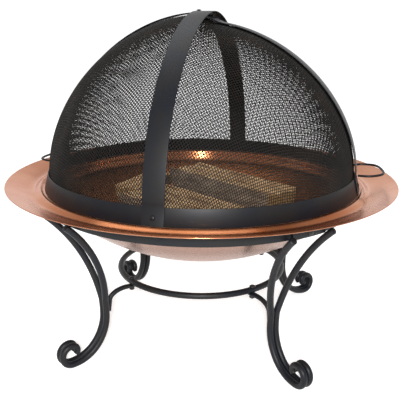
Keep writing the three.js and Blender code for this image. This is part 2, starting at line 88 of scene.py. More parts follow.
def linear(hex_colour: str) -> tuple[float, float, float, float]:
    """Turn an sRGB colour into the linear one that a shader takes.

    Args:
        hex_colour: Six hex digits, such as "C9774A".

    Returns:
        Red, green, blue and an alpha of 1.
    """
    shares = [int(hex_colour[i : i + 2], 16) / 255 for i in (0, 2, 4)]
    red, green, blue = (
        s / 12.92 if s <= 0.04045 else ((s + 0.055) / 1.055) ** 2.4 for s in shares
    )
    return red, green, blue, 1.0


def scale_for(size_mm: float) -> float:
    """The texture scale at which one feature is size_mm across."""
    return 1 / (size_mm * MM)


def add(
    tree: bpy.types.NodeTree,
    kind: str,
    inputs: dict | None = None,
    **attributes: object,
) -> bpy.types.Node:
    """Add one node with its settings and links.

    Args:
        tree: The node tree.
        kind: The node's type.
        inputs: Input name or number to a constant, or to the socket that feeds it.
        **attributes: The node's own settings.

    Returns:
        The new node.
    """
    node = tree.nodes.new(kind)
    for name, value in attributes.items():
        setattr(node, name, value)
    for key, value in (inputs or {}).items():
        if isinstance(value, bpy.types.NodeSocket):
            tree.links.new(value, node.inputs[key])
        else:
            node.inputs[key].default_value = value
    return node


@dataclass(frozen=True)
class Finish(ABC):
    """A surface finish. Its material is made once and shared."""

    title: str

    def material(self) -> bpy.types.Material:
        """Find or make the finish's material.

        Returns:
            The material.
        """
        found = bpy.data.materials.get(self.title)
        if found:
            return found
        made = bpy.data.materials.new(self.title)
        made.use_nodes = True
        made.node_tree.nodes.clear()
        shader = self.shade(made.node_tree)
        add(made.node_tree, "ShaderNodeOutputMaterial", {"Surface": shader.outputs[0]})
        return made

    @abstractmethod
    def shade(self, tree: bpy.types.NodeTree) -> bpy.types.Node:
        """Build the nodes.

        Args:
            tree: The material's empty node tree.

        Returns:
            The shader node.
        """


def mottle(
    tree: bpy.types.NodeTree,
    place: bpy.types.NodeSocket,
    size_mm: float,
    colours: tuple[str, str],
    span: tuple[float, float] = (0.35, 0.65),
    detail: float = 4.0,
) -> bpy.types.Node:
    """Blend two colours in soft patches.

    Args:
        tree: The node tree.
        place: The coordinate to read.
        size_mm: How large a patch is.
        colours: The two colours, as hex.
        span: Where the blend starts and ends.
        detail: How many finer layers the patches have.

    Returns:
        A colour ramp node.
    """
    patches = add(
        tree,
        "ShaderNodeTexNoise",
        {"Vector": place, "Scale": scale_for(size_mm), "Detail": detail},
    )
    ramp = add(tree, "ShaderNodeValToRGB", {"Fac": patches.outputs["Fac"]})
    for stop, at, colour in zip(ramp.color_ramp.elements, span, colours, strict=True):
        stop.position = at
        stop.color = linear(colour)
    return ramp


def stretched(
    tree: bpy.types.NodeTree, place: bpy.types.NodeSocket, by: Sequence[float]
) -> bpy.types.NodeSocket:
    """Scale a coordinate along each axis, so that a pattern runs along the grain.

    Args:
        tree: The node tree.
        place: The coordinate.
        by: The scale along X, Y and Z.

    Returns:
        The scaled coordinate.
    """
    node = add(tree, "ShaderNodeMapping", {"Vector": place, "Scale": tuple(by)})
    return node.outputs["Vector"]


@dataclass(frozen=True)
class SpunCopper(Finish):
    """Copper sheet spun to shape and polished.

    The spinning tool leaves fine rings, which draw each highlight out across them. Handling
    and heat leave soft darker patches. Inside the dish a brighter orange is painted on the
    upward faces, for the light that the copper bounces onto itself.
    """

    title: str = "spun_copper"
    bright: str = "C6825A"
    warm: str = "B9683A"
    # painted bounce light inside the dish, brighter and more orange than bright
    painted_bounce_orange: str = "D0844F"
    underside: str = "9C7969"  # painted reflection of the pale floor on faces that look down, paler and pinker than the top
    ring_mm: float = 1.6  # real rings are about 0.3 mm apart, too fine to show
    patch_mm: float = 90.0
    roughness: float = 0.24
    inside_mm: tuple[float, float] = (288.0, 304.0)  # the fire's side ends here

    def shade(self, tree: bpy.types.NodeTree) -> bpy.types.Node:
        """Spin the rings and the warm patches, and paint light: a brighter orange inside, a paler
        tone underneath.

        Args:
            tree: The material's empty node tree.

        Returns:
            The shader node.
        """
        place = add(tree, "ShaderNodeTexCoord").outputs["Object"]
        parts = add(tree, "ShaderNodeSeparateXYZ", {0: place})
        flat = add(
            tree, "ShaderNodeCombineXYZ", {"X": parts.outputs["X"], "Y": parts.outputs["Y"]}
        )
        radius = add(
            tree, "ShaderNodeVectorMath", {0: flat.outputs[0]}, operation="LENGTH"
        ).outputs["Value"]
        base = mottle(tree, place, self.patch_mm, (self.warm, self.bright), (0.3, 0.62))
        facing = add(tree, "ShaderNodeNewGeometry")
        up = add(tree, "ShaderNodeSeparateXYZ", {0: facing.outputs["True Normal"]})
        fire_side = add(
            tree,
            "ShaderNodeMapRange",
            {
                "Value": radius,
                "From Min": self.inside_mm[0] * MM,
                "From Max": self.inside_mm[1] * MM,
                "To Min": 1.0,
                "To Max": 0.0,
            },
        )
        # Mask for the painted bounce light: faces inside the dish that look up.
        inside = add(
            tree,
            "ShaderNodeMath",
            {0: fire_side.outputs["Result"], 1: up.outputs["Z"]},
            operation="MULTIPLY",
            use_clamp=True,
        )
        # Painted light: upward faces inside the dish take a brighter orange for the light that the
        # copper bounces onto itself.
        colour = add(
            tree,
            "ShaderNodeMix",
            {0: inside.outputs[0], 6: base.outputs["Color"], 7: linear(self.painted_bounce_orange)},
            data_type="RGBA",
        )
        # Painted reflection: faces that look down take a paler, pinker tone for the bright floor
        # that they mirror.
        below = add(
            tree,
            "ShaderNodeMapRange",
            {"Value": up.outputs["Z"], "From Min": 0.0, "From Max": -0.2},
        )
        whole = add(
            tree,
            "ShaderNodeMix",
            {0: below.outputs["Result"], 6: colour.outputs[2], 7: linear(self.underside)},
            data_type="RGBA",
        )
        along = add(tree, "ShaderNodeCombineXYZ", {"X": radius, "Y": parts.outputs["Z"]})
        rings = add(
            tree,
            "ShaderNodeTexNoise",
            {"Vector": along.outputs[0], "Scale": scale_for(self.ring_mm), "Detail": 3.0},
        )
        bump = add(
            tree,
            "ShaderNodeBump",
            {"Height": rings.outputs["Fac"], "Strength": 0.12, "Distance": 0.1 * MM},
        )
        haze = add(
            tree,
            "ShaderNodeMapRange",
            {
                "Value": rings.outputs["Fac"],
                "To Min": self.roughness - 0.05,
                "To Max": self.roughness + 0.07,
            },
        )
        around = add(tree, "ShaderNodeTangent", direction_type="RADIAL", axis="Z")
        return add(
            tree,
            "ShaderNodeBsdfPrincipled",
            {
                "Base Color": whole.outputs[2],
                "Metallic": 1.0,
                "Roughness": haze.outputs["Result"],
                "Anisotropic": 0.8,
                "Anisotropic Rotation": 0.25,
                "Normal": bump.outputs["Normal"],
                "Tangent": around.outputs["Tangent"],
            },
        )


@dataclass(frozen=True)
class BlackPaint(Finish):
    """Heat-resistant black paint on mild steel.

    It is satin, with a faint orange-peel texture, and dust and handling turn patches of it
    towards brown-grey.
    """

    title: str = "satin_black_paint"
    fresh: str = "0C0F15"
    dusty: str = "161413"
    peel_mm: float = 2.4
    patch_mm: float = 45.0
    roughness: float = 0.42

    def shade(self, tree: bpy.types.NodeTree) -> bpy.types.Node:
        """Spray the satin coat, with its orange peel and dust.

        Args:
            tree: The material's empty node tree.

        Returns:
            The shader node.
        """
        place = add(tree, "ShaderNodeTexCoord").outputs["Object"]
        colour = mottle(tree, place, self.patch_mm, (self.fresh, self.dusty), (0.42, 0.72))
        peel = add(
            tree,
            "ShaderNodeTexNoise",
            {"Vector": place, "Scale": scale_for(self.peel_mm), "Detail": 2.0},
        )
        bump = add(
            tree,
            "ShaderNodeBump",
            {"Height": peel.outputs["Fac"], "Strength": 0.25, "Distance": 0.15 * MM},
        )
        sheen = add(
            tree,
            "ShaderNodeMapRange",
            {
                "Value": peel.outputs["Fac"],
                "To Min": self.roughness - 0.06,
                "To Max": self.roughness + 0.1,
            },
        )
        return add(
            tree,
            "ShaderNodeBsdfPrincipled",
            {
                "Base Color": colour.outputs["Color"],
                "Roughness": sheen.outputs["Result"],
                "Specular IOR Level": 0.22,
                "Normal": bump.outputs["Normal"],
            },
        )


@dataclass(frozen=True)
class RoughIron(Finish):
    """Bare iron that fires have scaled: dull, grainy, with a little rust."""

    title: str = "fire_scaled_iron"
    scale: str = "2C2926"
    rust: str = "5A3B28"
    grain_mm: float = 3.0

    def shade(self, tree: bpy.types.NodeTree) -> bpy.types.Node:
        """Scale the iron and let a little rust through.

        Args:
            tree: The material's empty node tree.

        Returns:
            The shader node.
        """
        place = add(tree, "ShaderNodeTexCoord").outputs["Object"]
        colour = mottle(tree, place, 14.0, (self.scale, self.rust), (0.5, 0.78), 6.0)
        grain = add(
            tree,
            "ShaderNodeTexNoise",
            {"Vector": place, "Scale": scale_for(self.grain_mm), "Detail": 5.0},
        )
        bump = add(
            tree,
            "ShaderNodeBump",
            {"Height": grain.outputs["Fac"], "Strength": 0.6, "Distance": 0.5 * MM},
        )
        return add(
            tree,
            "ShaderNodeBsdfPrincipled",
            {
                "Base Color": colour.outputs["Color"],
                "Metallic": 0.4,
                "Roughness": 0.72,
                "Normal": bump.outputs["Normal"],
            },
        )


@dataclass(frozen=True)
class Timber(Finish):
    """One surface of a split log. The pattern runs along the log, which is its X axis."""

    title: str
    dark: str
    light: str
    streak_mm: float
    lengthen: float  # how many times longer than wide a streak is
    relief_mm: float
    roughness: float

    def shade(self, tree: bpy.types.NodeTree) -> bpy.types.Node:
        """Draw the streaks along the log and raise its fibres.

        Args:
            tree: The material's empty node tree.

        Returns:
            The shader node.
        """
        place = add(tree, "ShaderNodeTexCoord").outputs["Object"]
        grain = stretched(tree, place, (1 / self.lengthen, 1, 1))
        colour = mottle(tree, grain, self.streak_mm, (self.dark, self.light), (0.32, 0.66), 7.0)
        fibres = add(
            tree,
            "ShaderNodeTexNoise",
            {"Vector": grain, "Scale": scale_for(self.streak_mm / 2), "Detail": 6.0},
        )
        bump = add(
            tree,
            "ShaderNodeBump",
            {
                "Height": fibres.outputs["Fac"],
                "Strength": 0.8,
                "Distance": self.relief_mm * MM,
            },
        )
        return add(
            tree,
            "ShaderNodeBsdfPrincipled",
            {
                "Base Color": colour.outputs["Color"],
                "Roughness": self.roughness,
                "Normal": bump.outputs["Normal"],
            },
        )


COPPER = SpunCopper()
PAINT = BlackPaint()
# Drawn wire takes the paint thinly, so it is duller than the flat bar.
WIRE_PAINT = BlackPaint("black_painted_wire", "12110F", "211C18", 3.0, 60.0, 0.5)
# Phosphated bolts are a shade lighter and glossier where a spanner has touched them.
BOLT_BLACK = BlackPaint("phosphated_steel", "1C1C1E", "2D2C2B", 1.2, 5.0, 0.3)
IRON = RoughIron()
SPLIT = Timber("split_hardwood", "8C6038", "F0CA96", 6.0, 9.0, 3.0, 0.82)
BARK = Timber("grey_bark", "7A6652", "B8A088", 7.0, 4.0, 4.0, 0.95)
END_GRAIN = Timber("sawn_end_grain", "7D5F3A", "B8955F", 4.0, 1.0, 0.6, 0.88)


# ---- Meshes ----


def build(
    name: str,
    vertices: np.ndarray,
    faces: Sequence[Sequence[int]],
    finishes: Sequence[Finish],
    faces_finish: Sequence[int] | None = None,
    sharp_degrees: float = 40.0,
) -> bpy.types.Object:
    """Make an object from points in millimetres.

    Args:
        name: The object's name.
        vertices: The points, N by 3.
        faces: Each face's vertex numbers.
        finishes: The finishes it uses.
        faces_finish: Which finish each face has.
        sharp_degrees: Edges sharper than this stay crisp.

    Returns:
        The object, linked to the scene.
    """
    mesh = bpy.data.meshes.new(name)
    mesh.from_pydata((np.asarray(vertices) * MM).tolist(), [], [list(f) for f in faces])
    for finish in finishes:
        mesh.materials.append(finish.material())
    if faces_finish is not None:
        mesh.polygons.foreach_set("material_index", np.asarray(faces_finish, np.int32))
    shell = bmesh.new()
    shell.from_mesh(mesh)
    bmesh.ops.remove_doubles(shell, verts=shell.verts, dist=0.001 * MM)
    bmesh.ops.recalc_face_normals(shell, faces=shell.faces)
    shell.to_mesh(mesh)
    shell.free()
    mesh.polygons.foreach_set("use_smooth", np.ones(len(mesh.polygons), bool))
    mesh.set_sharp_from_angle(angle=math.radians(sharp_degrees))
    made = bpy.data.objects.new(name, mesh)
    bpy.context.scene.collection.objects.link(made)
    return made


def install(made: bpy.types.Object, body: Body, slot: str, *nodes: str) -> bpy.types.Object:
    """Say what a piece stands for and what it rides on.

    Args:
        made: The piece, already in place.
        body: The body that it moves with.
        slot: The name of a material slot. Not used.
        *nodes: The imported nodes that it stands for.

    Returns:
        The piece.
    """
    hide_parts(*nodes)
    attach(made, body.value)
    LOG.info("%s rides on %s and stands for %s", made.name, body.value, ", ".join(nodes))
    return made


def turned_about_z(points: np.ndarray, degrees: float) -> np.ndarray:
    """Turn points about the vertical axis."""
    c, s = math.cos(math.radians(degrees)), math.sin(math.radians(degrees))
    return points @ np.array([[c, s, 0], [-s, c, 0], [0, 0, 1]])


def smooth_line(points: Sequence[Sequence[float]], per_span: int) -> np.ndarray:
    """A Catmull-Rom curve through points.

    Args:
        points: The points that it passes through.
        per_span: How many steps each span takes.

    Returns:
        The curve's points.
    """
    p = np.asarray(points, float)
    p = np.vstack([2 * p[0] - p[1], p, 2 * p[-1] - p[-2]])
    t = np.linspace(0, 1, per_span, endpoint=False)[:, None]
    spans = []
    for a, b, c, d in zip(p[:-3], p[1:-2], p[2:-1], p[3:], strict=True):
        spans.append(
            0.5
            * (
                2 * b
                + (c - a) * t
                + (2 * a - 5 * b + 4 * c - d) * t**2
                + (3 * b - a - 3 * c + d) * t**3
            )
        )
    return np.vstack([*spans, p[-2:-1]])


def grid_faces(rows: int, columns: int, wrap_rows: bool, wrap_columns: bool) -> list[list[int]]:
    """Quads that join a grid of points.

    Args:
        rows: How many rows there are.
        columns: How many points a row has.
        wrap_rows: Whether the last row joins the first.
        wrap_columns: Whether each row closes on itself.

    Returns:
        The faces.
    """
    faces = []
    for i in range(rows if wrap_rows else rows - 1):
        for j in range(columns if wrap_columns else columns - 1):
            near, far = i * columns, ((i + 1) % rows) * columns
            faces.append([near + j, far + j, far + (j + 1) % columns, near + (j + 1) % columns])
    return faces


def lathe(
    profile: np.ndarray, segments: int, closed: bool = True, span: float = 360.0
) -> tuple[np.ndarray, list[list[int]]]:
    """Turn a (radius, z) outline about the Z axis.

    Args:
        profile: The outline's points.
        segments: How many steps it takes.
        closed: Whether the outline closes on itself.
        span: How far it turns, in degrees, about +X.

    Returns:
        The points and the faces.
    """
    full = span >= 360
    count = segments if full else segments + 1
    angles = np.radians(np.linspace(-span / 2, span / 2, count, endpoint=not full))
    r, z = np.asarray(profile, float).T
    rows = [np.c_[r * math.cos(a), r * math.sin(a), z] for a in angles]
    faces = grid_faces(count, len(r), full, closed)
    if not full:
        last = (count - 1) * len(r)
        faces += [list(range(len(r))), [last + i for i in range(len(r))][::-1]]
    return np.vstack(rows), faces


def rounded_bar(width: float, thickness: float, corner: float, steps: int = 3) -> np.ndarray:
    """The section of a flat bar with rounded corners.

    Args:
        width: Its width, along the first axis.
        thickness: Its thickness, along the second.
        corner: The radius of its corners.
        steps: How many steps each corner takes.

    Returns:
        The outline's points.
    """
    points = []
    for sx, sy, start in ((1, 1, 0), (-1, 1, 90), (-1, -1, 180), (1, -1, 270)):
        for k in range(steps + 1):
            a = math.radians(start + 90 * k / steps)
            points.append(
                (
                    sx * (width / 2 - corner) + corner * math.cos(a),
                    sy * (thickness / 2 - corner) + corner * math.sin(a),
                )
            )
    return np.array(points)


def round_bar(radius: float, sides: int) -> np.ndarray:
    """The section of a round rod."""
    a = np.linspace(0, 2 * math.pi, sides, endpoint=False)
    return np.c_[radius * np.cos(a), radius * np.sin(a)]


def sweep(
    route: np.ndarray,
    section: np.ndarray | Callable[[float], np.ndarray],
    across: Sequence[float] | None = None,
    dome: float = 0.0,
) -> tuple[np.ndarray, list[list[int]]]:
    """Carry a section along a route.

    Args:
        route: The centreline.
        section: The section, or a function from 0 to 1 along the route that gives it.
        across: A fixed direction for the section's first axis, for a bar bent in one plane.
        dome: How far the ends are rounded over.

    Returns:
        The points and the faces.
    """
    route = np.asarray(route, float)
    tangent = np.gradient(route, axis=0)
    tangent /= np.linalg.norm(tangent, axis=1)[:, None]
    shape = section if callable(section) else lambda _share: section
    hint = np.array(across if across is not None else (0.0, 0.0, 1.0))
    if across is None and abs(tangent[0] @ hint) > 0.9:
        hint = np.array((0.0, 1.0, 0.0))
    rings = []
    for i, t in enumerate(tangent):
        first = hint - (hint @ t) * t
        first /= np.linalg.norm(first)
        second = np.cross(t, first)
        if across is None:
            hint = first
        outline = shape(i / max(len(route) - 1, 1))
        rings.append(route[i] + outline[:, :1] * first + outline[:, 1:] * second)
    sides = len(rings[0])
    if dome > 0:
        for at_start in (True, False):
            centre, edge = (route[0], rings[0]) if at_start else (route[-1], rings[-1])
            out = -tangent[0] if at_start else tangent[-1]
            caps = []
            for degrees in (28, 56, 84):
                a = math.radians(degrees)
                ring = centre + (edge - centre) * math.cos(a) + out * dome * math.sin(a)
                caps.append(ring)
            rings = [*caps[::-1], *rings] if at_start else [*rings, *caps]
    faces = grid_faces(len(rings), sides, False, True)
    last = (len(rings) - 1) * sides
    faces += [list(range(sides))[::-1], [last + i for i in range(sides)]]
    return np.vstack(rings), faces


def arc(
    centre: Sequence[float], radius: float, start: float, end: float, count: int
) -> list[tuple[float, float]]:
    """Points on an arc, from one angle to another, in degrees."""
    angles = np.radians(np.linspace(start, end, count + 1))
    return [(centre[0] + radius * math.cos(a), centre[1] + radius * math.sin(a)) for a in angles]


def domed_head(radius: float, height: float, shank: float, length: float) -> np.ndarray:
    """The outline of a round-headed bolt or rivet, with the head's underside at 0.

    Args:
        radius: The head's radius.
        height: The head's height.
        shank: The shank's radius.
        length: The shank's length.

    Returns:
        The outline's points as (radius, z).
    """
    dome = [(radius * math.cos(a), height * math.sin(a)) for a in np.radians([0, 18, 36, 54, 72])]
    stem = [(0, -length), (shank, -length), (shank, 0), (radius * 0.96, 0)]
    return np.array([*stem, *dome, (0, height)])


def pointing(points: np.ndarray, at: Sequence[float], along: Sequence[float]) -> np.ndarray:
    """Move points made along +Z so that they point along a direction from a place."""
    turn = Vector((0, 0, 1)).rotation_difference(Vector(along)).to_matrix()
    return points @ np.array(turn).T + np.asarray(at, float)


# ---- The bowl ----


@dataclass
class CopperBowl:
    """A spun dish with a ledge for the screen and a wide brim."""

    sphere: float = 422.5
    bottom: float = 174.5
    sheet: float = 1.5
    dish_radius: float = 288.0
    brim: list[tuple[float, float]] = field(
        default_factory=lambda: [
            (295, 295.5),
            (298.6, 304),
            (300.2, 312),
            (302.8, 317.2),
            (311, 317.2),
            (315.5, 319.6),
            (320, 318.6),
            (329, 314.6),
            (340, 315.8),
            (358, 321.8),
            (379.9, 328.2),
        ]
    )

    def inner_line(self) -> np.ndarray:
        """The inside surface's outline.

        Returns:
            Its points as (radius, z), from the middle out.
        """
        centre = self.bottom + self.sheet + self.sphere
        radii = np.linspace(0, self.dish_radius, 30)
        dish = np.c_[radii, centre - np.sqrt(self.sphere**2 - radii**2)]
        return np.vstack([dish[:-1], smooth_line([dish[-1], *self.brim], 6)])

    def make(self) -> None:
        """Build the bowl and dress it in copper."""
        inner = self.inner_line()
        along = np.gradient(inner, axis=0)
        along /= np.linalg.norm(along, axis=1)[:, None]
        outer = inner + np.c_[along[:, 1], -along[:, 0]] * self.sheet
        outer[0] = (0, self.bottom)
        middle = (inner[-1] + outer[-1]) / 2
        edge = arc(middle, self.sheet / 2, -70, 106, 5)
        points, faces = lathe(np.vstack([outer, edge, inner[::-1]]), 288, closed=False)
        bowl = build("copper_bowl", points, faces, [COPPER])
        install(bowl, Body.BOWL, "copper", "bowl")


# ---- The stand ----


@dataclass
class Stand:
    """A flat ring on four legs of paired rods, joined low down by a rod ring."""

    ring_inner: float = 301.0
    ring_outer: float = 306.0
    ring_low: float = 286.0
    ring_high: float = 302.5
    rod: float = 6.25
    lower_radius: float = 166.0
    lower_z: float = 140.0
    lower_rod: float = 6.0
    waist_radius: float = 226.5
    waist_z: float = 88.0
    top_z: float = 290.0
    fork_z: float = 118.0
    fork_spread: float = 46.0
    fork_exponent: float = 0.9
    pair_gap: float = 1.0
    upper_bend: float = 270.0
    lower_bend: float = 89.0
    lower_turn: float = 40.0
    foot_bend: float = 69.0
    scroll: float = 19.0
    tip_bend: float = 10.5
    tip_turn: float = 130.0
    ring_corner: float = 0.8
    tab_sheet: float = 3.0
    tab_corner: float = 0.7
    tab_half_angle: float = 7.0
    bracket_rod: float = 4.7
    bracket_low: float = 112.0
    bracket_flat: float = 5.0
    bracket_half_width: float = 7.0  # of the flattened end
    bracket_bend_stop: float = 14.0  # how far outside the lower ring the bend stops
    bracket_overhang: float = 9.0  # how far inside it the flat end reaches
    bracket_tail: float = 20.0  # how far the rod runs down in the groove
    bracket_lean: float = 2.6  # how far it sinks into the groove
    gap: float = 0.35

    def leg_line(self) -> np.ndarray:
        """A leg's centreline, from the ring down to the tip of its scroll.

        Returns:
            Its points as (radius, z).
        """
        lower = arc(
            (self.waist_radius + self.lower_bend, self.waist_z),
            self.lower_bend,
            180,
            180 + self.lower_turn,
            20,
        )
        turn = math.radians(180 + self.lower_turn)
        foot_centre = (
            lower[-1][0] - self.foot_bend * math.cos(turn),
            lower[-1][1] - self.foot_bend * math.sin(turn),
        )
        foot = arc(foot_centre, self.foot_bend, 180 + self.lower_turn, 270, 18)
        heel = foot[-1]
        scroll = arc((heel[0], heel[1] + self.scroll), self.scroll, -90, 90, 24)
        crown = scroll[-1]
        tip = arc((crown[0], crown[1] - self.tip_bend), self.tip_bend, 90, 90 + self.tip_turn, 16)
        rise = self.rod - heel[1]
        sine = (self.top_z - rise - self.waist_z) / self.upper_bend
        upper = arc(
            (self.waist_radius + self.upper_bend, self.waist_z),
            self.upper_bend,
            180 - math.degrees(math.asin(sine)),
            180,
            44,
        )
        line = np.array([*upper, *lower[1:], *foot[1:], *scroll[1:], *tip[1:]])
        return line + (0, rise)

    def fork(self, z: np.ndarray) -> np.ndarray:
        """How far a rod stands to the side of its leg's middle.

        Args:
            z: The heights.

        Returns:
            The distance at each height.
        """
        together = self.rod + self.pair_gap / 2
        share = np.clip((z - self.fork_z) / (self.top_z - self.fork_z), 0, 1)
        return together + (self.fork_spread - together) * share**self.fork_exponent

    def rings(self) -> None:
        """The flat ring under the brim and the rod ring low down."""
        height, sheet = self.ring_high - self.ring_low, self.ring_outer - self.ring_inner
        section = rounded_bar(height, sheet, self.ring_corner)
        middle = ((self.ring_inner + self.ring_outer) / 2, (self.ring_low + self.ring_high) / 2)
        points, faces = lathe(section[:, ::-1] + middle, 256)
        install(build("flat_ring", points, faces, [PAINT]), Body.STAND, "black_steel", "top_ring")
        section = round_bar(self.lower_rod, 20) + (self.lower_radius, self.lower_z)
        points, faces = lathe(section, 192)
        install(build("rod_ring", points, faces, [PAINT]), Body.STAND, "black_steel", "lower_ring")

    def rods(self, leg: Leg) -> None:
        """A leg's two rods.

        Args:
            leg: Which leg.
        """
        line = self.leg_line()
        for letter, side in (("a", -1), ("b", 1)):
            route = np.c_[line[:, 0], side * self.fork(line[:, 1]), line[:, 1]]
            points, faces = sweep(route, round_bar(self.rod, 18), dome=1.5)
            placed = turned_about_z(points, leg.value)
            made = build(f"leg_{leg.label}_{letter}", placed, faces, [PAINT])
            install(made, Body.STAND, "black_steel", f"leg_rod_{leg.label}_{letter}")

    def tab(self, leg: Leg) -> None:
        """The flat tab between a leg's rods, on the outside of the ring.

        Args:
            leg: Which leg.
        """
        inner = self.ring_outer + self.gap
        section = rounded_bar(self.ring_high - self.ring_low, self.tab_sheet, self.tab_corner)
        middle = (inner + self.tab_sheet / 2, (self.ring_low + self.ring_high) / 2)
        points, faces = lathe(section[:, ::-1] + middle, 14, span=2 * self.tab_half_angle)
        made = build(f"tab_{leg.label}", turned_about_z(points, leg.value), faces, [PAINT])
        install(made, Body.STAND, "black_steel", f"leg_tab_{leg.label}")

    def bracket(self, leg: Leg) -> None:
        """The rod that leaves the leg and bends in under the lower ring, with its end flattened.

        Args:
            leg: Which leg.
        """
        top_z = self.lower_z - self.lower_rod - self.gap - self.bracket_flat / 2
        outer_x = self.waist_radius - self.rod - self.bracket_rod - self.gap
        inner_x = self.lower_radius + self.bracket_bend_stop
        angles = np.radians(np.linspace(0, 90, 26))
        bend = np.c_[
            inner_x + (outer_x - inner_x) * np.cos(angles),
            np.zeros(26),
            self.bracket_low + (top_z - self.bracket_low) * np.sin(angles),
        ]
        end_x = self.lower_radius - self.bracket_overhang
        flat = np.c_[np.linspace(inner_x, end_x, 14), np.zeros(14), np.full(14, top_z)]
        # The rod's lower end lies in the groove between the leg's rods, where it is welded.
        groove = np.c_[
            np.linspace(outer_x + self.bracket_lean, outer_x, 10),
            np.zeros(10),
            np.linspace(self.bracket_low - self.bracket_tail, self.bracket_low, 10),
        ]
        route = np.vstack([groove[:-1], bend, flat[1:]])
        press_from, press_over = 0.72, 0.14  # shares of the route
        squareness = 0.42

        def section(share: float) -> np.ndarray:
            """The rod's section, round at the leg and pressed flat under the ring.

            Args:
                share: From 0 at the leg to 1 at the ring.

            Returns:
                The outline's points.
            """
            press = np.clip((share - press_from) / press_over, 0, 1)
            press = press * press * (3 - 2 * press)
            ring = round_bar(1, 20)
            half_width = self.bracket_rod + (self.bracket_half_width - self.bracket_rod) * press
            half_height = self.bracket_rod + (self.bracket_flat / 2 - self.bracket_rod) * press
            square = 1 - squareness * press
            signs = np.sign(ring) * np.abs(ring) ** square
            return signs * (half_width, half_height)

        points, faces = sweep(route, section, across=(0, 1, 0), dome=1.2)
        made = build(f"bracket_{leg.label}", turned_about_z(points, leg.value), faces, [PAINT])
        install(made, Body.STAND, "black_steel", f"leg_bracket_{leg.label}")

    def bolts(self, leg: Leg) -> None:
        """The bolt through the ring and tab, and the bolt and nut at the lower ring.

        Args:
            leg: Which leg.
        """
        outline = domed_head(radius=6.5, height=3.5, shank=3.0, length=8.5)
        points, faces = lathe(outline, 36, closed=False)
        face = self.ring_outer + 2 * self.gap + self.tab_sheet
        placed = pointing(points, (face, 0, (self.ring_low + self.ring_high) / 2), (1, 0, 0))
        placed = turned_about_z(placed, leg.value)
        made = build(f"ring_bolt_head_{leg.label}", placed, faces, [BOLT_BLACK])
        install(made, Body.STAND, "bolts", f"ring_bolt_{leg.label}")

        outline = domed_head(radius=6.0, height=3.2, shank=3.0, length=24.0)
        points, faces = lathe(outline, 36, closed=False)
        head = (self.lower_radius, 0, self.lower_z + self.lower_rod + self.gap)
        made = build(
            f"bracket_bolt_head_{leg.label}",
            turned_about_z(points + head, leg.value),
            faces,
            [BOLT_BLACK],
        )
        install(made, Body.STAND, "bolts", f"bracket_bolt_{leg.label}")

        top = self.lower_z - self.lower_rod - self.bracket_flat - 2 * self.gap
        points, faces = self.nut_shape(corner=5.75, height=4.5, bore=3.5)
        placed = turned_about_z(points + (self.lower_radius, 0, top), leg.value)
        made = build(f"nut_{leg.label}", placed, faces, [BOLT_BLACK], sharp_degrees=25)
        install(made, Body.STAND, "bolts", f"bracket_nut_{leg.label}")

    @staticmethod
    def nut_shape(corner: float, height: float, bore: float) -> tuple[np.ndarray, list[list[int]]]:
        """A six-sided nut with chamfered corners, its top face at 0.

        Args:
            corner: The radius to a corner.
            height: How tall it is.
            bore: The radius of its hole.

        Returns:
            The points and the faces.
        """
        sides = 36
        rows = []
        for j in range(sides):
            a = 2 * math.pi * j / sides
            wedge = (a + math.pi / 6) % (math.pi / 3) - math.pi / 6
            flat = corner * math.cos(math.pi / 6) / math.cos(abs(wedge) - math.pi / 6)
            rim = min(flat, corner * 0.9)
            profile = [
                (bore, -height),
                (rim, -height),
                (flat, -height + 0.5),
                (flat, -0.5),
                (rim, 0),
                (bore, 0),
            ]
            rows += [(r * math.cos(a), r * math.sin(a), z) for r, z in profile]
        return np.array(rows), grid_faces(sides, 6, True, True)

    def make(self) -> None:
        """Build every piece of the stand."""
        self.rings()
        for leg in Leg:
            self.rods(leg)
            self.tab(leg)
            self.bracket(leg)
            self.bolts(leg)


# ---- The spark screen ----


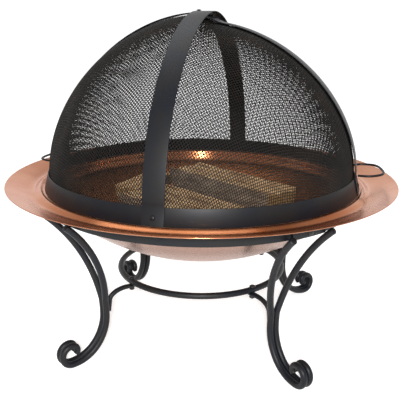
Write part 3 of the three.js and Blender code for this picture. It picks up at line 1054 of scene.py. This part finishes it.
@dataclass
class SparkScreen:
    """A sheet hoop with a woven wire dome, two straps that cross at the crown and two loops."""

    turn: float = -6.5
    hoop_low: float = 317.7
    hoop_high: float = 347.7
    radius_low: float = 307.5
    radius_high: float = 300.0
    sheet: float = 1.6
    mesh_base: float = 297.7
    height_left: float = 293.0
    height_right: float = 278.5
    full_left: float = 1.85
    full_right: float = 1.867
    strap_width: float = 38.0
    strap_sheet: float = 1.6
    strap_corner: float = 0.55
    handle_proud: float = 4.8  # how far the handle strap stands above the mesh at the crown
    cross_proud_left: float = 2.4
    cross_proud_right: float = 2.2
    handle_shift: float = 6.0
    loop_wire: float = 2.3
    loop_half_width: float = 52.0
    loop_inset: float = 8.0
    loop_z: float = 343.5
    rivet_z: float = 331.0
    pitch: float = 5.0
    # The wire's radius, probably more than a real one's, so that the cloth shows dark enough.
    wire: float = 0.76
    wave: float = 0.45
    mesh_inset: float = 1.6  # from the dome's outer surface to the wires' middle
    skirt: float = 22.0  # how far the cloth runs down inside the hoop
    skirt_flare: float = 0.16
    crown_rivet_shift: float = 13.0
    gap: float = 0.35

    @property
    def strap_base(self) -> float:
        """The straps' radius at the top of the hoop."""
        return self.mesh_base + 3.5

    def hoop_radius(self, z: float) -> float:
        """The hoop's outer radius at a height."""
        lean = (self.radius_high - self.radius_low) / (self.hoop_high - self.hoop_low)
        return self.radius_low + (z - self.hoop_low) * lean

    def hoop_normal(self, degrees: float) -> np.ndarray:
        """The hoop's outward direction.

        Args:
            degrees: The angle from +X.

        Returns:
            The direction, one long.
        """
        lean = (self.radius_high - self.radius_low) / (self.hoop_high - self.hoop_low)
        normal = np.array([math.cos(math.radians(degrees)), math.sin(math.radians(degrees)), -lean])
        return normal / np.linalg.norm(normal)

    @staticmethod
    def left_share(x: np.ndarray, middle: float, half_width: float) -> np.ndarray:
        """How much of the fuller left side a point has: 1 on the left, 0 on the right."""
        t = np.clip((x - middle + half_width) / (2 * half_width), 0, 1)
        return 1 - t * t * (3 - 2 * t)

    def dome_point(self, azimuth: np.ndarray, lift: np.ndarray, inset: float) -> np.ndarray:
        """Points on the mesh dome.

        Args:
            azimuth: The directions from +X, in radians.
            lift: From 0 at the hoop to pi/2 at the crown.
            inset: How far inside the outer surface.

        Returns:
            The points.
        """
        cosine, sine = np.clip(np.cos(lift), 0, 1), np.clip(np.sin(lift), 0, 1)
        mean = (self.full_left + self.full_right) / 2
        share = self.left_share(
            self.mesh_base * cosine ** (2 / mean) * np.cos(azimuth), self.handle_shift, 18
        )
        fullness = self.full_right + (self.full_left - self.full_right) * share
        height = self.height_right + (self.height_left - self.height_right) * share
        radius = (self.mesh_base - inset) * cosine ** (2 / fullness)
        z = self.hoop_high + (height - inset) * sine ** (2 / fullness)
        return np.c_[radius * np.cos(azimuth), radius * np.sin(azimuth), z]

    def sheet_point(self, u: np.ndarray, v: np.ndarray, table: tuple) -> np.ndarray:
        """Where a point of the flat cloth of wire lies once it is drawn over the dome.

        Args:
            u: The distance along the cloth's first direction.
            v: The distance along its second.
            table: Lengths from the crown and the lift at each.

        Returns:
            The points.
        """
        lengths, lifts = table
        distance = np.hypot(u, v)
        azimuth = np.arctan2(v, u)
        lift = np.interp(distance, lengths, lifts)
        points = self.dome_point(azimuth, lift, self.mesh_inset)
        below = np.clip(distance - lengths[-1], 0, None)
        skirt_radius = self.mesh_base - self.mesh_inset + below * self.skirt_flare
        tail = below > 0
        points[tail] = np.c_[
            skirt_radius[tail] * np.cos(azimuth[tail]),
            skirt_radius[tail] * np.sin(azimuth[tail]),
            self.hoop_high - below[tail],
        ]
        return points

    def cloth(self) -> None:
        """Weave the dome: each wire passes over one crossing wire and under the next."""
        lifts = np.linspace(math.pi / 2, 0, 400)
        profile = self.dome_point(np.full(400, math.pi / 2), lifts, self.mesh_inset)
        lengths = np.r_[0, np.cumsum(np.linalg.norm(np.diff(profile, axis=0), axis=1))]
        table = (lengths, lifts)
        reach = lengths[-1] + self.skirt
        count = int(reach // self.pitch)
        steps = np.arange(-count, count + 1)
        sides = 3
        corners = np.linspace(0, 2 * math.pi, sides, endpoint=False)
        slant = math.radians(45)  # the cloth is laid so that its wires run diagonally at the front
        vertices, quads, quarter = [], [], []
        base = 0
        for family in (0, 1):
            for k in steps:
                on = steps[np.hypot(steps * self.pitch, k * self.pitch) <= reach]
                if len(on) < 3:
                    continue
                fixed = np.full(len(on), k * self.pitch)
                a, b = (fixed, on * self.pitch) if family == 0 else (on * self.pitch, fixed)
                u = a * math.cos(slant) - b * math.sin(slant)
                v = a * math.sin(slant) + b * math.cos(slant)
                here = self.sheet_point(u, v, table)
                nudge = 0.5
                du = self.sheet_point(u + nudge, v, table) - self.sheet_point(u - nudge, v, table)
                dv = self.sheet_point(u, v + nudge, table) - self.sheet_point(u, v - nudge, table)
                normal = np.cross(du, dv)
                normal /= np.linalg.norm(normal, axis=1)[:, None]
                over = np.where((on + k) % 2 == 0, 1.0, -1.0) * (1 if family == 0 else -1)
                line = here + normal * (over * self.wave)[:, None]
                tangent = np.gradient(line, axis=0)
                tangent /= np.linalg.norm(tangent, axis=1)[:, None]
                across = np.cross(tangent, normal)
                for angle in corners:
                    spoke = math.cos(angle) * normal + math.sin(angle) * across
                    vertices.append(line + spoke * self.wire)
                n = len(on)
                which = ((np.arctan2(here[:, 1], here[:, 0]) // (math.pi / 2)).astype(int)) % 4
                for i in range(n - 1):
                    for c in range(sides):
                        p, q = base + c * n + i, base + ((c + 1) % sides) * n + i
                        quads.append((p, q, q + 1, p + 1))
                        quarter.append(which[i])
                base += n * sides
        points = turned_about_z(np.vstack(vertices), self.turn)
        quads, quarter = np.array(quads), np.array(quarter)
        for number, name in enumerate(("back_right", "back_left", "front_left", "front_right")):
            chosen = quads[quarter == number]
            used, faces = np.unique(chosen, return_inverse=True)
            faces = faces.reshape(-1, 4)
            made = build(
                f"wire_cloth_{name}",
                points[used],
                faces.tolist(),
                [WIRE_PAINT],
                sharp_degrees=180,
            )
            install(made, Body.SCREEN, "mesh", "mesh_dome")

    def hoop(self) -> None:
        """The sheet hoop, with its edges rounded over."""
        low = np.array([self.radius_low - self.sheet / 2, self.hoop_low + 0.7])
        high = np.array([self.radius_high - self.sheet / 2, self.hoop_high - 0.7])
        bottom = arc(low, self.sheet / 2, 180, 360, 6)
        top = arc(high, self.sheet / 2, 0, 180, 6)
        points, faces = lathe(np.array([*bottom, *top]), 288)
        made = build("hoop", turned_about_z(points, self.turn), faces, [PAINT])
        install(made, Body.SCREEN, "black_steel", "screen_hoop")

    def profile(self, x: np.ndarray, height: float, fullness: float) -> np.ndarray:
        """The height of a strap's arch at a distance from the axis."""
        share = np.clip(np.abs(x) / self.strap_base, 0, 1)
        return self.hoop_high + height * (1 - share**fullness) ** (1 / fullness)

    def handle_height(self, x: np.ndarray) -> np.ndarray:
        """The handle strap, which stands proud of the mesh at the crown."""
        return self.profile(x, self.height_left + self.handle_proud, self.full_left)

    def cross_height(self, x: np.ndarray) -> np.ndarray:
        """The cross strap, which meets the handle strap on the left and drops on the right.

        Args:
            x: The distances from the axis.

        Returns:
            The strap's height at each.
        """
        left = self.profile(x, self.height_left + self.cross_proud_left, self.full_left)
        right = self.profile(x, self.height_right + self.cross_proud_right, self.full_right)
        return right + (left - right) * self.left_share(x, self.handle_shift + 12, 26)

    def strap(self, name: str, node: str, height: Callable, turned: float, shift: float) -> None:
        """Bend one strap over the dome.

        Args:
            name: The piece's name.
            node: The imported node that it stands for.
            height: The arch's height at a distance from the axis.
            turned: How far the strap is turned from +X, in degrees.
            shift: How far it stands to the right of the middle.
        """
        outside = self.sheet / 2 + self.gap
        foot = (self.hoop_radius(self.hoop_low + 1) + outside, self.hoop_low + 1)
        bend = (self.hoop_radius(self.hoop_high) + outside, self.hoop_high)
        angles = np.radians(np.linspace(1.2, 178.8, 190))
        x = -self.strap_base * np.sign(np.cos(angles)) * np.abs(np.cos(angles)) ** 1.09
        down = [
            (foot[0] + (bend[0] - foot[0]) * t, foot[1] + (bend[1] - foot[1]) * t)
            for t in (0, 0.5, 1)
        ]
        arch = np.c_[x, height(x)]
        line = np.vstack([[(-r, z) for r, z in down], arch, down[::-1]])
        route = np.c_[line[:, 0], np.zeros(len(line)), line[:, 1]]
        section = rounded_bar(self.strap_width, self.strap_sheet, self.strap_corner)
        points, faces = sweep(route, section, across=(0, 1, 0), dome=0.3)
        points = turned_about_z(points, turned) + (shift, 0, 0)
        made = build(name, turned_about_z(points, self.turn), faces, [PAINT])
        install(made, Body.SCREEN, "black_steel", node)

    def rivets(self) -> None:
        """The rivets through the straps' ends and the one at the crown."""
        skew = math.degrees(math.asin(self.handle_shift / self.radius_low))
        ends = (("front", -90 + skew), ("right", 0.0), ("back", 90 - skew), ("left", 180.0))
        seat = self.sheet / 2 + self.gap + 0.8 + 0.3
        for place, angle in ends:
            outline = domed_head(radius=4.5, height=2.2, shank=2.5, length=3.2)
            points, faces = lathe(outline, 36, closed=False)
            radius = self.hoop_radius(self.rivet_z)
            a = math.radians(angle)
            normal = self.hoop_normal(angle)
            face = np.array([radius * math.cos(a), radius * math.sin(a), self.rivet_z])
            at = face + normal * seat
            placed = turned_about_z(pointing(points, at, normal), self.turn)
            made = build(f"rivet_{place}", placed, faces, [PAINT])
            install(made, Body.SCREEN, "black_steel", f"strap_rivet_{place}")
        outline = domed_head(radius=4.8, height=2.4, shank=2.5, length=4.2)
        points, faces = lathe(outline, 36, closed=False)
        top = float(self.handle_height(np.array([0.0]))[0]) + 1.1
        place = (self.handle_shift - self.crown_rivet_shift, 0, top)
        placed = turned_about_z(points + place, self.turn)
        made = build("rivet_crown", placed, faces, [PAINT])
        install(made, Body.SCREEN, "black_steel", "crown_rivet")

    def loop(self, place: str, angle: float, depth: float, tilt: float) -> None:
        """One wire loop, bent to a D with both ends against the hoop.

        Args:
            place: Which side it is on.
            angle: Its angle from +X, in degrees.
            depth: How far it reaches out.
            tilt: How far it rises outwards, in degrees.
        """
        half, corner = self.loop_half_width, 20.0
        outline = [
            (0.8, -half + self.loop_inset),
            (depth * 0.45, -half),
            (depth - corner * 0.3, -half + corner * 0.7),
            (depth, 0.0),
        ]
        outline += [(x, -y) for x, y in outline[:-1][::-1]]
        flat = smooth_line(outline, 14)
        route = np.c_[flat, flat[:, 0] * math.tan(math.radians(tilt))]
        points, faces = sweep(route, round_bar(self.loop_wire, 14), dome=0.4)
        chord = math.sqrt(self.hoop_radius(self.loop_z) ** 2 - (half - self.loop_inset) ** 2)
        points = points + (chord + self.loop_wire + 1.4, 0, self.loop_z)
        placed = turned_about_z(points, angle + self.turn)
        made = build(f"loop_{place}", placed, faces, [PAINT])
        install(made, Body.SCREEN, "black_steel", f"loop_handle_{place}")

    def make(self) -> None:
        """Build every piece of the screen."""
        self.hoop()
        self.cloth()
        self.strap("lifting_strap", "handle_strap", self.handle_height, 90.0, self.handle_shift)
        self.strap("crossing_strap", "cross_strap", self.cross_height, 0.0, 0.0)
        self.rivets()
        self.loop("right", angle=13.0, depth=55.0, tilt=3.0)
        self.loop("left", angle=175.4, depth=52.0, tilt=0.0)


# ---- The grate and the firewood ----


@dataclass
class LogGrate:
    """A round rod ring on three feet, with bars across it."""

    radius: float = 135.0
    z: float = 230.0
    rod: float = 4.0
    spacing: float = 56.0
    gap: float = 0.35

    def make(self) -> None:
        """Build the ring, the bars and the feet."""
        points, faces = lathe(round_bar(self.rod, 16) + (self.radius, self.z), 144)
        install(build("grate_hoop", points, faces, [IRON]), Body.GRATE, "grate", "grate_ring")
        for i in range(4):
            y = (i - 1.5) * self.spacing
            half = math.sqrt(self.radius**2 - y**2) + self.rod - 1.5
            x = np.linspace(-half, half, 24)
            route = np.c_[x, np.full(24, y), np.full(24, self.z + 2 * self.rod + self.gap)]
            points, faces = sweep(route, round_bar(self.rod, 14), dome=1.5)
            made = build(f"bar_{i + 1}", points, faces, [IRON])
            install(made, Body.GRATE, "grate", f"grate_bar_{i + 1}")
        for i in range(3):
            low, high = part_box(f"grate_foot_{i + 1}")
            a = math.radians(30 + 120 * i)
            z = np.linspace(low.z / MM + 1.5, high.z / MM - 1.0, 10)
            x, y = self.radius * math.cos(a), self.radius * math.sin(a)
            route = np.c_[np.full(10, x), np.full(10, y), z]
            points, faces = sweep(route, round_bar(self.rod, 14), dome=1.0)
            made = build(f"foot_{i + 1}", points, faces, [IRON])
            install(made, Body.GRATE, "grate", f"grate_foot_{i + 1}")


@dataclass
class SplitLog:
    """A split log: bark on its round back, torn fibres on its flat face and a sawn end."""

    node: str
    length: float
    half_width: float
    depth: float
    at: tuple[float, float]
    turn: float
    seed: int
    bark_relief: float = 0.0085  # as a share of the section
    sag: float = 4.0
    torn_relief: float = 1.5
    bow: float = 2.0

    def make(self) -> None:
        """Build the log and its three surfaces."""
        low, _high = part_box(self.node)
        draw = np.random.default_rng(self.seed)
        waves = [
            (draw.uniform(0.6, 1.4), draw.uniform(0, 6.28), draw.uniform(-1, 1))
            for _ in range(9)
        ]
        stations, around, across = 110, 44, 30
        x = np.linspace(-self.length / 2, self.length / 2, stations)
        back = np.radians(np.linspace(180, 360, around))
        face = np.linspace(1, -1, across + 2)[1:-1]
        rows = []
        for place in x:
            bark = sum(
                w * np.sin(back * (5 + 4 * i) + p + place * 0.012 * (i + 1) * s)
                for i, (w, p, s) in enumerate(waves)
            )
            shrink = 1 - np.clip(0.05 + self.bark_relief * bark, 0.004, 0.12)
            section = np.c_[
                self.half_width * np.cos(back) * shrink, self.depth * np.sin(back) * shrink - 0.6
            ]
            torn = sum(
                w * np.sin(face * (7 + 9 * i) + p + place * 0.006 * (i + 1) * s) / (1 + 0.5 * i)
                for i, (w, p, s) in enumerate(waves)
            )
            bow = self.bow * math.sin(place * 0.021 + waves[0][1])
            sag = self.sag + self.torn_relief * torn + bow
            top = np.c_[self.half_width * face * 0.965, -np.clip(sag, 0.4, 11.0)]
            rows.append(np.c_[np.full(around + across, place), np.vstack([section, top])])
        points = np.vstack(rows)
        ring = around + across
        faces = grid_faces(stations, ring, False, True)
        kinds = [1 if j < around - 1 else 0 for _ in range(stations - 1) for j in range(ring)]
        last = (stations - 1) * ring
        faces += [list(range(ring))[::-1], [last + i for i in range(ring)]]
        kinds += [2, 2]
        name = self.node.replace("log_", "split_log_")
        log = build(name, points, faces, [SPLIT, BARK, END_GRAIN], kinds, 55)
        log.location = (self.at[0] * MM, self.at[1] * MM, low.z + self.depth * MM)
        log.rotation_euler = (0, 0, math.radians(self.turn))
        install(log, Body.LOGS, "firewood", self.node)


# ---- Studio ----


@dataclass
class Studio:
    """A plain pale floor, soft light and the camera."""

    distance: float = 1.27341
    height: float = 0.64032
    azimuth: float = 9.16
    pitch: float = 15.87
    roll: float = 0.32
    lens: float = 58.68
    shift: tuple[float, float] = (-0.00355, -0.0017)

    def camera(self) -> None:
        """Place the camera, looking slightly down at the bowl."""
        data = bpy.data.cameras.new("camera")
        data.lens, data.sensor_width = self.lens, 36.0
        data.shift_x, data.shift_y = self.shift
        data.clip_start, data.clip_end = 0.05, 50.0
        made = bpy.data.objects.new("camera", data)
        a, e = math.radians(self.azimuth), math.radians(self.pitch)
        made.location = (self.distance * math.sin(a), -self.distance * math.cos(a), self.height)
        forward = Vector((-math.sin(a) * math.cos(e), math.cos(a) * math.cos(e), -math.sin(e)))
        made.rotation_mode = "QUATERNION"
        level = forward.to_track_quat("-Z", "Y")
        made.rotation_quaternion = level @ Quaternion((0, 0, 1), math.radians(self.roll))
        bpy.context.scene.collection.objects.link(made)
        bpy.context.scene.camera = made

    @staticmethod
    def lamp(name: str, at: Sequence[float], size: float, power: float) -> None:
        """Hang one softbox that points at the bowl.

        Args:
            name: The light's name.
            at: Where it hangs, in metres.
            size: How wide it is, in metres.
            power: Its power, in watts.
        """
        data = bpy.data.lights.new(name, "AREA")
        data.shape, data.size, data.energy = "DISK", size, power
        made = bpy.data.objects.new(name, data)
        made.location = at
        made.rotation_mode = "QUATERNION"
        made.rotation_quaternion = (Vector((0, 0, 0.3)) - Vector(at)).to_track_quat("-Z", "Y")
        bpy.context.scene.collection.objects.link(made)

    def light(self) -> None:
        """Light the room evenly, with a main softbox in front and one above."""
        world = bpy.data.worlds.new("studio")
        world.use_nodes = True
        world.node_tree.nodes.clear()
        way = add(world.node_tree, "ShaderNodeTexCoord").outputs["Generated"]
        height = add(world.node_tree, "ShaderNodeSeparateXYZ", {0: way}).outputs["Z"]
        sky = add(world.node_tree, "ShaderNodeValToRGB", {"Fac": height})
        low, high = sky.color_ramp.elements
        low.position, low.color = 0.25, linear("FFFFFF")
        high.position, high.color = 0.85, linear("A8A8AC")
        glow = add(
            world.node_tree,
            "ShaderNodeBackground",
            {"Color": sky.outputs["Color"], "Strength": 1.12},
        )
        add(world.node_tree, "ShaderNodeOutputWorld", {"Surface": glow.outputs[0]})
        bpy.context.scene.world = world
        self.lamp("front_softbox", (0.30, -1.86, 0.95), size=0.16, power=44.0)
        self.lamp("top_softbox", (-0.4, 0.6, 2.6), size=2.2, power=24.0)
        bpy.context.scene.view_settings.view_transform = "Standard"

    @staticmethod
    def floor() -> None:
        """Lay the plain pale floor."""
        floor_material = bpy.data.materials.new("pale_floor")
        floor_material.use_nodes = True
        tree = floor_material.node_tree
        tree.nodes.clear()
        matt = add(
            tree,
            "ShaderNodeBsdfPrincipled",
            {
                "Base Color": linear("F6F6F5"),
                "Roughness": 0.9,
                "Emission Color": linear("FFFFFF"),
                "Emission Strength": 0.42,
            },
        )
        add(tree, "ShaderNodeOutputMaterial", {"Surface": matt.outputs[0]})
        mesh = bpy.data.meshes.new("floor")
        reach = 20.0
        corners = [(-reach, -reach, 0), (reach, -reach, 0), (reach, reach, 0), (-reach, reach, 0)]
        mesh.from_pydata(corners, [], [(0, 1, 2, 3)])
        mesh.materials.append(floor_material)
        ground = bpy.data.objects.new("floor", mesh)
        bpy.context.scene.collection.objects.link(ground)

    def make(self) -> None:
        """Set up the floor, the lights and the camera."""
        self.floor()
        self.light()
        self.camera()


def main() -> None:
    """Build every sub-assembly in order."""
    logging.basicConfig(level=logging.INFO, format="%(message)s")
    Studio().make()
    Stand().make()
    CopperBowl().make()
    LogGrate().make()
    for log in (
        SplitLog("log_front", 280, half_width=60, depth=58, at=(-14, -96), turn=-38, seed=11),
        SplitLog("log_rear", 290, half_width=42, depth=77, at=(52, 38), turn=-39.5, seed=23),
        SplitLog("log_side", 150, half_width=30, depth=52, at=(-139, 88), turn=73, seed=37),
    ):
        log.make()
    SparkScreen().make()


if __name__ == "__main__":
    main()
